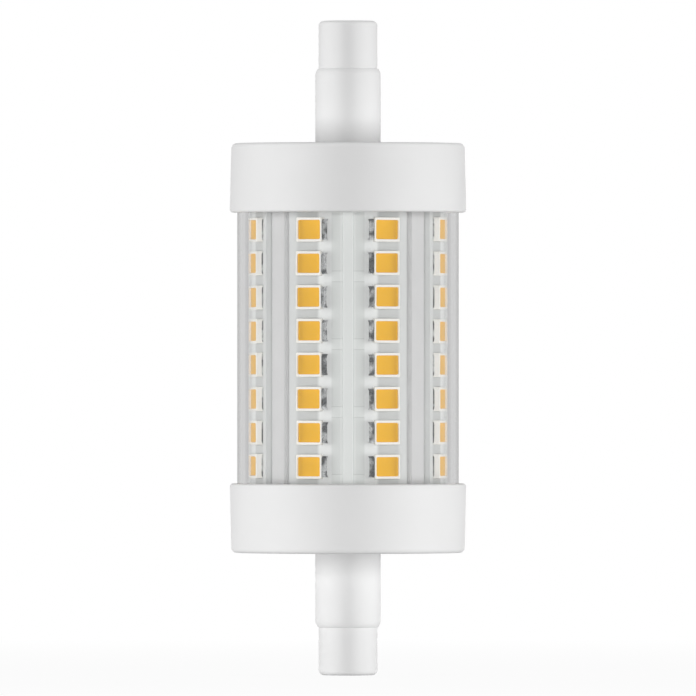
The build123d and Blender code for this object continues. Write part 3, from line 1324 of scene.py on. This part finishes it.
@dataclass
class LedBoard:
    """A folded board with its two columns of packages."""

    facing: Facing
    shapes: PackageShapes
    land_y: float = field(init=False)
    end_z: float = field(init=False)
    thickness: float = 0.8
    fold_thickness: float = 0.8146
    fold_land: float = 1.2
    panel_half_width: float = 2.65
    half_turn: float = 22.5
    rows: int = 8
    pitch: float = 4.02
    score_width: float = 0.16
    score_depth: float = 0.04
    score_floor_half: float = 0.032
    score_steps: int = 2
    edge_round: float = 0.06
    edge_steps: int = 2
    placing_slip: float = 0.05
    placing_turn: float = 0.5

    def __post_init__(self) -> None:
        """Take the board's reach and length from the CAD board."""
        low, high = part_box(f"{self.side}_led_board")
        self.land_y = max(abs(size) for corner in (low, high) for size in corner.xy) / MM
        self.end_z = high.z / MM

    @property
    def side(self) -> str:
        """Name of the side that the board faces."""
        return self.facing.name.lower()

    @property
    def board_face(self) -> float:
        """Distance of the panels' surface from the axis."""
        angle = math.radians(self.half_turn)
        return self.land_y * math.cos(angle) + self.fold_land / 2 * math.sin(angle)

    def panel_point(self, flat: float, slide: float) -> tuple[float, float]:
        """Find a point of the section, with the board facing +Y.

        Args:
            flat: distance of the panel's surface from the axis.
            slide: distance from the panel's middle, away from the fold.

        Returns:
            The point across the board and outwards.
        """
        angle = math.radians(self.half_turn)
        return (
            flat * math.sin(angle) + slide * math.cos(angle),
            flat * math.cos(angle) - slide * math.sin(angle),
        )

    def build(self) -> list[bpy.types.Object]:
        """Build and dress the board and what it carries.

        Returns:
            The board, the package bodies, the phosphor fills and the solder joints.
        """
        shapes = self.shapes
        fold_joint = shapes.joint(shapes.fold_solder_reach, shapes.fold_solder_height)
        edge_joint = shapes.joint(shapes.edge_solder_reach, shapes.edge_solder_height)
        rows = self.placings()
        turned = [row @ Matrix.Rotation(math.pi, 4, "Z") for row in rows]
        fold_ends = rows[: self.rows] + turned[self.rows :]
        edge_ends = turned[: self.rows] + rows[self.rows :]
        return [
            self.build_board(),
            self.repeat(
                "package_bodies",
                [(shapes.body(), rows)],
                PACKAGE_PLASTIC,
                "led_housings",
            ),
            self.repeat(
                "phosphor_fills",
                [(shapes.fill(), rows)],
                PHOSPHOR_FILL,
                "led_phosphors",
            ),
            self.repeat(
                "solder_joints",
                [(fold_joint, fold_ends), (edge_joint, edge_ends)],
                SOLDER_METAL,
                "led_solder",
            ),
        ]

    def build_board(self) -> bpy.types.Object:
        """Build the folded board with its scored fold.

        Returns:
            The board's object.
        """
        angle = math.radians(self.half_turn)
        back = self.board_face - self.thickness
        inner_y = self.land_y - self.fold_thickness
        inner_slide = (back * math.cos(angle) - inner_y) / math.sin(angle)
        half = [
            (self.fold_land / 2, self.land_y),
            self.panel_point(self.board_face, self.panel_half_width),
            self.panel_point(back, self.panel_half_width),
            self.panel_point(back, inner_slide),
        ]
        bm = bmesh.new()
        section = [bm.verts.new((x, y, -self.end_z)) for x, y in half]
        section += [bm.verts.new((-x, y, -self.end_z)) for x, y in reversed(half)]
        made = bmesh.ops.extrude_face_region(bm, geom=[bm.faces.new(section)], use_keep_orig=True)["geom"]
        ends = [item for item in made if isinstance(item, bmesh.types.BMVert)]
        bmesh.ops.translate(bm, vec=(0, 0, 2 * self.end_z), verts=ends)
        bmesh.ops.recalc_face_normals(bm, faces=bm.faces)
        self.score(bm)
        self.map_flat(bm)
        turn = math.radians(self.facing.value - Facing.REAR.value)
        bmesh.ops.rotate(bm, cent=(0, 0, 0), matrix=Matrix.Rotation(turn, 3, "Z"), verts=bm.verts)
        return settle(
            bm, f"{self.side}_masked_board", BOARD_MASK.material(), [f"{self.side}_led_board"]
        )

    def score(self, bm: bmesh.types.BMesh) -> None:
        """Cut the scores at both sides of the fold and ease the panels' outer edges.

        Args:
            bm: the board, facing +Y.
        """
        upright = [
            edge for edge in bm.edges if abs(edge.verts[0].co.z - edge.verts[1].co.z) > self.end_z
        ]
        folds = [edge for edge in upright if abs(edge.verts[0].co.y - self.land_y) < MERGE_MM]
        rims = [edge for edge in upright if abs(edge.verts[0].co.x) > self.panel_half_width]
        round_edges(bm, rims, self.edge_round, self.edge_steps)
        cut = round_edges(bm, folds, self.score_width / 2, self.score_steps)
        bottoms = [vert for vert in cut if abs(abs(vert.co.x) - self.fold_land / 2) < self.score_floor_half]
        bmesh.ops.translate(bm, vec=(0, -self.score_depth, 0), verts=bottoms)

    def map_flat(self, bm: bmesh.types.BMesh) -> None:
        """Give the board a flat map of its own, across the fold and along the lamp, in metres.

        Args:
            bm: the board, facing +Y.
        """
        layer = bm.loops.layers.uv.new(BOARD_MAP)
        for face in bm.faces:
            for loop in face.loops:
                loop[layer].uv = (loop.vert.co.x * MM, loop.vert.co.z * MM)

    def placings(self) -> list[Matrix]:
        """Place each package on its panel, with the small slips of a placing machine.

        Returns:
            The place of each package.
        """
        slips = random.Random(self.side)
        places = []
        for panel in (-self.half_turn, self.half_turn):
            angle = math.radians(self.facing.value + panel)
            outwards = Vector((math.cos(angle), math.sin(angle), 0))
            around = Vector((-math.sin(angle), math.cos(angle), 0))
            axes = Matrix((around, Vector((0, 0, 1)), outwards)).transposed().to_4x4()
            for row in range(self.rows):
                row_z = (row - (self.rows - 1) / 2) * self.pitch
                across = slips.uniform(-self.placing_slip, self.placing_slip)
                along = row_z + slips.uniform(-self.placing_slip, self.placing_slip)
                turn = math.radians(slips.uniform(-self.placing_turn, self.placing_turn))
                seat = Matrix.Translation((across, along, self.board_face))
                places.append(axes @ seat @ Matrix.Rotation(turn, 4, "Z"))
        return places

    def repeat(
        self,
        name: str,
        copies: list[tuple[bpy.types.Mesh, list[Matrix]]],
        finish: Finish,
        node: str,
    ) -> bpy.types.Object:
        """Repeat shapes at their places as one piece.

        Args:
            name: name of the piece, without its side.
            copies: each shape in millimetres, with the places of its copies.
            finish: finish of the piece.
            node: name of the CAD node, without its side.

        Returns:
            The piece's object.
        """
        bm = bmesh.new()
        for shape, places in copies:
            for place in places:
                known = len(bm.verts)
                bm.from_mesh(shape)
                bm.verts.ensure_lookup_table()
                bmesh.ops.transform(bm, matrix=place, verts=bm.verts[known:])
            bpy.data.meshes.remove(shape)
        return settle(bm, f"{self.side}_{name}", finish.material(), [f"{self.side}_{node}"])


def towards(azimuth: float, elevation: float) -> Vector:
    """Find a direction from the bulb.

    Args:
        azimuth: degrees round the bulb, 0 in front and 90 on the right.
        elevation: degrees above the horizon.

    Returns:
        The direction, one long.
    """
    turn, rise = math.radians(azimuth), math.radians(elevation)
    return Vector((math.sin(turn) * math.cos(rise), -math.cos(turn) * math.cos(rise), math.sin(rise)))


@dataclass
class Softbox:
    """A soft lamp that faces the middle of the bulb.

    Attributes:
        name: name of the lamp.
        azimuth: direction from the bulb in degrees.
        elevation: height above the horizon in degrees.
        radiance: brightness of the lamp's face, where 1 is white.
        distance: metres from the bulb.
        width: width in metres.
        height: height in metres.
    """

    name: str
    azimuth: float
    elevation: float
    radiance: float
    distance: float = 0.8
    width: float = 0.3
    height: float = 0.45

    def build(self) -> bpy.types.Object:
        """Hang the lamp, which lights the bulb without being mirrored in it.

        Returns:
            The lamp's object.
        """
        lamp = bpy.data.lights.new(self.name, "AREA")
        lamp.shape = "RECTANGLE"
        lamp.size = self.width
        lamp.size_y = self.height
        lamp.energy = self.radiance * math.pi * self.width * self.height
        holder = bpy.data.objects.new(self.name, lamp)
        outwards = towards(self.azimuth, self.elevation)
        holder.location = outwards * self.distance
        holder.rotation_euler = outwards.to_track_quat("Z", "Y").to_euler()
        holder.visible_camera = False
        holder.visible_glossy = False
        holder.visible_transmission = False
        bpy.context.scene.collection.objects.link(holder)
        return holder


@dataclass
class GreyCard:
    """A curved grey card round the bulb, which only mirror and glass rays see.

    Attributes:
        name: name of the card.
        start: direction of its first end in degrees.
        end: direction of its last end in degrees.
        foot_z: height of its lower edge in metres.
        distance: metres from the bulb.
        height: height in metres.
        colour: sRGB hex of its even glow.
        steps: flat parts of its curve.
    """

    name: str
    start: float
    end: float
    foot_z: float = -0.039
    distance: float = 0.35
    height: float = 0.4
    colour: str = "BCBCBC"
    steps: int = 32

    def build(self) -> bpy.types.Object:
        """Stand the card up.

        Returns:
            The card's object.
        """
        bm = bmesh.new()
        foot = towards(self.start, 0) * self.distance
        ends = [bm.verts.new((foot.x, foot.y, self.foot_z + rise)) for rise in (0, self.height)]
        bmesh.ops.spin(
            bm,
            geom=[*ends, bm.edges.new(ends)],
            cent=(0, 0, 0),
            axis=(0, 0, 1),
            angle=math.radians(self.end - self.start),
            steps=self.steps,
        )
        mesh = bpy.data.meshes.new(self.name)
        bm.to_mesh(mesh)
        bm.free()
        paint = bare_material("lit_grey_card")
        paint.cycles.emission_sampling = "NONE"
        tree = paint.node_tree
        glow = add_node(tree, "ShaderNodeEmission", {"Color": linear(self.colour), "Strength": 1.0})
        add_node(tree, "ShaderNodeOutputMaterial", {"Surface": glow.outputs[0]})
        mesh.materials.append(paint)
        card = bpy.data.objects.new(self.name, mesh)
        card.visible_camera = False
        card.visible_diffuse = False
        card.visible_shadow = False
        bpy.context.scene.collection.objects.link(card)
        return card


@dataclass
class Studio:
    """Pale floor, soft lamps, grey cards, white surroundings and a camera far in front of the bulb.

    Attributes:
        floor_z: height of the floor in metres.
        floor_size: length of its sides in metres.
        floor_colour: sRGB hex of its paint under the bulb.
        floor_edge_colour: sRGB hex of its paint further away, which throws less light up.
        floor_glow: share of plain white in the view of the floor under the bulb.
        fade_from: distance in metres at which the paint starts to change.
        fade_to: distance in metres at which it has changed.
        ambient: strength of the light from all round.
        white: sRGB hex of the surroundings.
        camera_distance: metres from the bulb.
        frame_width: width of the picture at the bulb, in metres.
        sensor_mm: width of the camera's sensor.
        clip_start: nearest distance that the camera sees, in metres.
        clip_end: farthest distance that it sees.
        lamps: the soft lamps.
        cards: the grey cards.
    """

    floor_z: float = -0.03902
    floor_size: float = 12.0
    floor_colour: str = "BCBCBC"
    floor_edge_colour: str = "404040"
    floor_glow: float = 0.95
    fade_from: float = 0.06
    fade_to: float = 0.25
    ambient: float = 0.02
    white: str = "FFFFFF"
    camera_distance: float = 2.0
    frame_width: float = 0.08299
    sensor_mm: float = 36.0
    clip_start: float = 0.1
    clip_end: float = 50.0
    lamps: tuple[Softbox, ...] = (
        Softbox("front_right_softbox", azimuth=12, elevation=0, radiance=5.6),
        Softbox("front_left_softbox", azimuth=-12, elevation=0, radiance=5.6),
        Softbox("right_softbox", azimuth=90, elevation=0, radiance=11.6),
        Softbox("rear_softbox", azimuth=180, elevation=0, radiance=10.7),
        Softbox("left_softbox", azimuth=-90, elevation=0, radiance=11.6),
        Softbox("top_softbox", azimuth=0, elevation=90, radiance=5.5),
    )
    cards: tuple[GreyCard, ...] = (
        GreyCard("right_card", start=8, end=100),
        GreyCard("left_card", start=-100, end=-8),
        GreyCard("right_rear_card", start=100, end=143, colour="C4C4C4"),
        GreyCard("left_rear_card", start=-143, end=-100, colour="C4C4C4"),
        GreyCard("right_light_card", start=143, end=164, colour="D8D8D8"),
        GreyCard("left_light_card", start=-164, end=-143, colour="D8D8D8"),
        GreyCard("rear_card", start=164, end=196, colour="C3C3C3"),
    )

    def build(self) -> None:
        """Set up the floor, the lamps, the cards, the surroundings and the camera."""
        self.lay_floor()
        for fitting in (*self.lamps, *self.cards):
            fitting.build()
        self.surround()
        self.set_camera()
        bpy.context.scene.view_settings.view_transform = "Standard"
        LOG.info("studio: %d lamps, %d cards", len(self.lamps), len(self.cards))

    def seen_directly(self, tree: bpy.types.NodeTree) -> bpy.types.NodeSocket:
        """Tell the rays that see the background from those that only light the bulb.

        Args:
            tree: nodes of the floor or of the world.

        Returns:
            The output that is 1 for camera, mirror and glass rays.
        """
        path = add_node(tree, "ShaderNodeLightPath").outputs
        mirrored = add_maths(tree, "MAXIMUM", path["Is Camera Ray"], path["Is Glossy Ray"])
        return add_maths(tree, "MAXIMUM", mirrored, path["Is Transmission Ray"])

    def lay_floor(self) -> None:
        """Lay a floor that looks white and still takes the bulb's shadow."""
        bm = bmesh.new()
        bmesh.ops.create_grid(bm, x_segments=1, y_segments=1, size=self.floor_size / 2)
        bmesh.ops.translate(bm, vec=(0, 0, self.floor_z), verts=bm.verts)
        mesh = bpy.data.meshes.new("studio_floor")
        bm.to_mesh(mesh)
        bm.free()
        mesh.materials.append(self.floor_paint())
        floor = bpy.data.objects.new("studio_floor", mesh)
        floor.visible_shadow = False
        bpy.context.scene.collection.objects.link(floor)

    def floor_paint(self) -> bpy.types.Material:
        """Mix the floor's paint, matt where it takes the shadow and lit white for the rays that see it.

        Returns:
            The new material.
        """
        paint = bare_material("matt_white_floor_paint")
        paint.cycles.emission_sampling = "NONE"
        tree = paint.node_tree
        place = add_node(tree, "ShaderNodeTexCoord").outputs["Object"]
        away = add_node(tree, "ShaderNodeVectorMath", {0: place}, operation="LENGTH").outputs["Value"]
        fade = add_node(
            tree,
            "ShaderNodeMapRange",
            {"Value": away, "From Min": self.fade_from, "From Max": self.fade_to},
        ).outputs["Result"]
        colour = mix_colours(tree, fade, linear(self.floor_colour), linear(self.floor_edge_colour))
        matt = add_node(tree, "ShaderNodeBsdfDiffuse", {"Color": colour}).outputs[0]
        glow = add_node(tree, "ShaderNodeEmission", {"Color": linear(self.white), "Strength": 1.0}).outputs[0]
        glow_share = add_node(
            tree, "ShaderNodeMapRange", {"Value": fade, "To Min": self.floor_glow, "To Max": 1.0}
        ).outputs["Result"]
        share = add_maths(tree, "MULTIPLY", self.seen_directly(tree), glow_share)
        seen = add_node(tree, "ShaderNodeMixShader", {0: share, 1: matt, 2: glow}).outputs[0]
        add_node(tree, "ShaderNodeOutputMaterial", {"Surface": seen})
        return paint

    def surround(self) -> None:
        """Surround the bulb with plain soft light, and with white for the rays that see it."""
        world = bpy.data.worlds.new("white_studio")
        world.use_nodes = True
        tree = world.node_tree
        tree.nodes.clear()
        strength = add_node(
            tree,
            "ShaderNodeMapRange",
            {"Value": self.seen_directly(tree), "To Min": self.ambient, "To Max": 1.0},
        ).outputs["Result"]
        air = add_node(tree, "ShaderNodeBackground", {"Color": linear(self.white), "Strength": strength})
        add_node(tree, "ShaderNodeOutputWorld", {"Surface": air.outputs[0]})
        bpy.context.scene.world = world

    def set_camera(self) -> None:
        """Set the camera level with the bulb's middle and so far away that its lines run parallel."""
        eye = bpy.data.cameras.new("camera")
        eye.type = "PERSP"
        eye.sensor_width = self.sensor_mm
        eye.lens = self.sensor_mm * self.camera_distance / self.frame_width
        eye.clip_start = self.clip_start
        eye.clip_end = self.clip_end
        holder = bpy.data.objects.new("camera", eye)
        holder.location = (0, -self.camera_distance, 0)
        holder.rotation_euler = (math.pi / 2, 0, 0)
        bpy.context.scene.collection.objects.link(holder)
        bpy.context.scene.camera = holder


def dress_nodes(nodes: dict[str, bpy.types.Object]) -> None:
    """Give the CAD nodes that stay their finishes.

    Args:
        nodes: the frame's CAD nodes by name.
    """
    for name, finish in NODE_FINISHES.items():
        for holder in nodes[name].material_slots:
            holder.material = finish.material()
        LOG.info("%s: CAD node in %s", name, finish.name)


def main() -> None:
    logging.basicConfig(level=logging.INFO, format="%(message)s")
    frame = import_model()
    dress_nodes(frame["nodes"])
    for end in End:
        EndCap(end).build()
        Contact(end).build()
    CoverTube().build()
    Core(frame["nodes"]["core"]).build()
    shapes = PackageShapes()
    for facing in Facing:
        LedBoard(facing, shapes).build()
    Studio().build()


if __name__ == "__main__":
    main()
